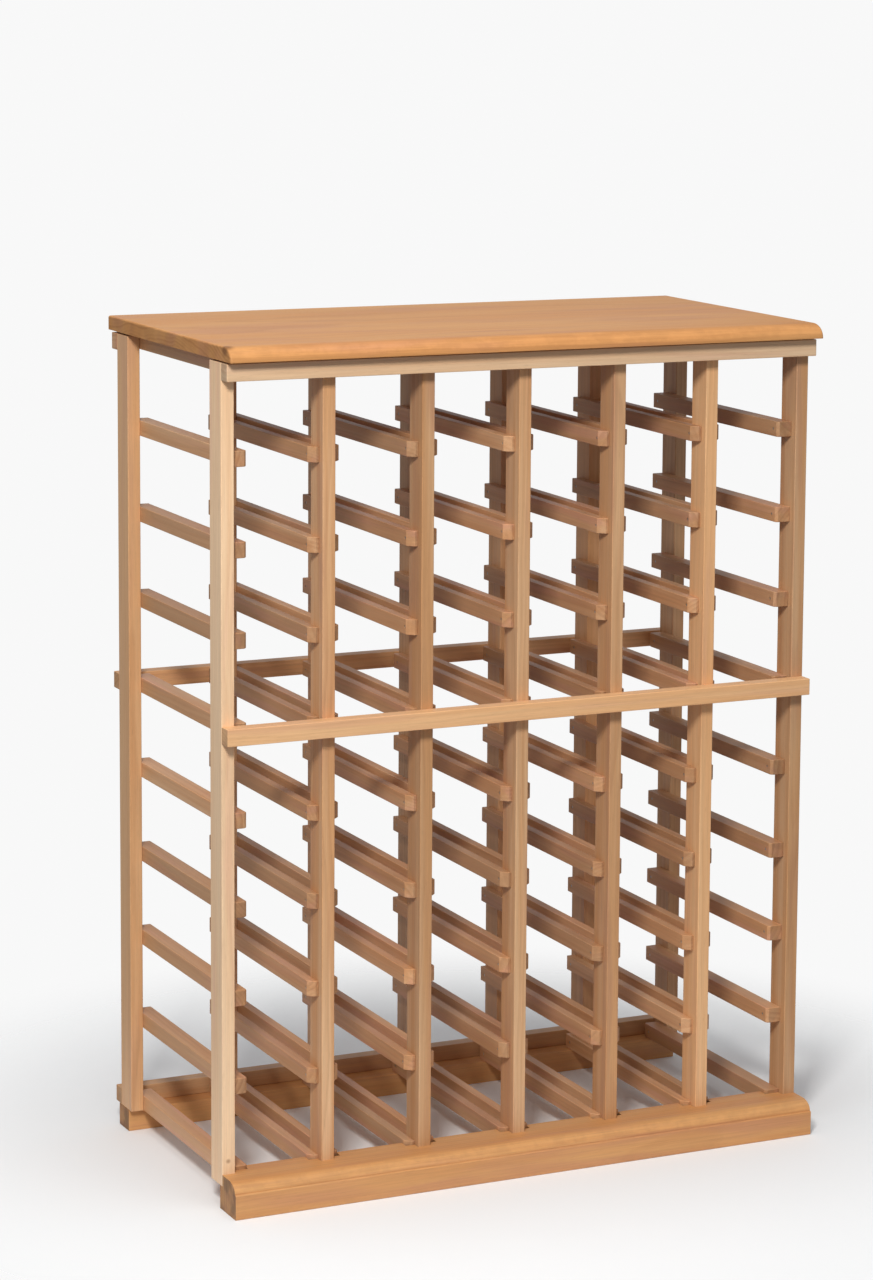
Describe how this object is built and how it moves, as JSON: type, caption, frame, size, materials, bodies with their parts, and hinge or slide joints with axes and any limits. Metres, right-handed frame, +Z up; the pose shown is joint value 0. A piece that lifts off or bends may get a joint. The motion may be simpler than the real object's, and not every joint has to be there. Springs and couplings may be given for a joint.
{
  "type": "wine rack",
  "caption": "Free-standing wooden wine rack: bottles lie on pairs of side rails between upright posts, under a solid tabletop with a rolled front edge.",
  "frame": {"origin": "centre of the footprint, on the floor under the base board and the back foot strip", "axes": "+Z up, front of the rack towards -Y, +X to the right as seen from the front"},
  "size_m": [0.627, 0.3384, 0.8258],
  "materials": {
    "post_wood": "planed and lightly oiled softwood, fine vertical grain",
    "rail_wood": "planed softwood, grain along each rail",
    "cross_rail_wood": "planed softwood, grain along each rail",
    "top_wood": "sanded and oiled solid board, grain along its length",
    "base_wood": "moulded softwood board, grain along its length",
    "dowel_wood": "plain birch dowel",
    "screw_steel": "yellow zinc plated screw",
    "brad_steel": "bright steel brad"
  },
  "bodies": {
    "root": {"front_post_1": "post_wood", "back_post_1": "post_wood", "ladder_1_brads": "brad_steel", "ladder_1_right_rails": "rail_wood", "ladder_1_right_bearer": "rail_wood", "front_post_2": "post_wood", "back_post_2": "post_wood", "ladder_2_brads": "brad_steel", "ladder_2_left_rails": "rail_wood", "ladder_2_left_bearer": "rail_wood", "ladder_2_right_rails": "rail_wood", "ladder_2_right_bearer": "rail_wood", "front_post_3": "post_wood", "back_post_3": "post_wood", "ladder_3_brads": "brad_steel", "ladder_3_left_rails": "rail_wood", "ladder_3_left_bearer": "rail_wood", "ladder_3_right_rails": "rail_wood", "ladder_3_right_bearer": "rail_wood", "front_post_4": "post_wood", "back_post_4": "post_wood", "ladder_4_brads": "brad_steel", "ladder_4_left_rails": "rail_wood", "ladder_4_left_bearer": "rail_wood", "ladder_4_right_rails": "rail_wood", "ladder_4_right_bearer": "rail_wood", "front_post_5": "post_wood", "back_post_5": "post_wood", "ladder_5_brads": "brad_steel", "ladder_5_left_rails": "rail_wood", "ladder_5_left_bearer": "rail_wood", "ladder_5_right_rails": "rail_wood", "ladder_5_right_bearer": "rail_wood", "front_post_6": "post_wood", "back_post_6": "post_wood", "ladder_6_brads": "brad_steel", "ladder_6_left_rails": "rail_wood", "ladder_6_left_bearer": "rail_wood", "ladder_6_right_rails": "rail_wood", "ladder_6_right_bearer": "rail_wood", "front_post_7": "post_wood", "back_post_7": "post_wood", "ladder_7_brads": "brad_steel", "ladder_7_left_rails": "rail_wood", "ladder_7_left_bearer": "rail_wood", "top_front_rail": "cross_rail_wood", "middle_front_rail": "cross_rail_wood", "top_back_rail": "cross_rail_wood", "middle_back_rail": "cross_rail_wood", "bottom_back_rail": "cross_rail_wood", "front_base_board": "base_wood", "base_spacer_blocks": "base_wood", "back_foot_strip": "base_wood", "tabletop": "top_wood", "front_rail_dowels": "dowel_wood", "base_board_dowels": "dowel_wood", "back_rail_screws": "screw_steel", "foot_screws": "screw_steel", "tabletop_screws": "screw_steel"}
  },
  "joints": []
}
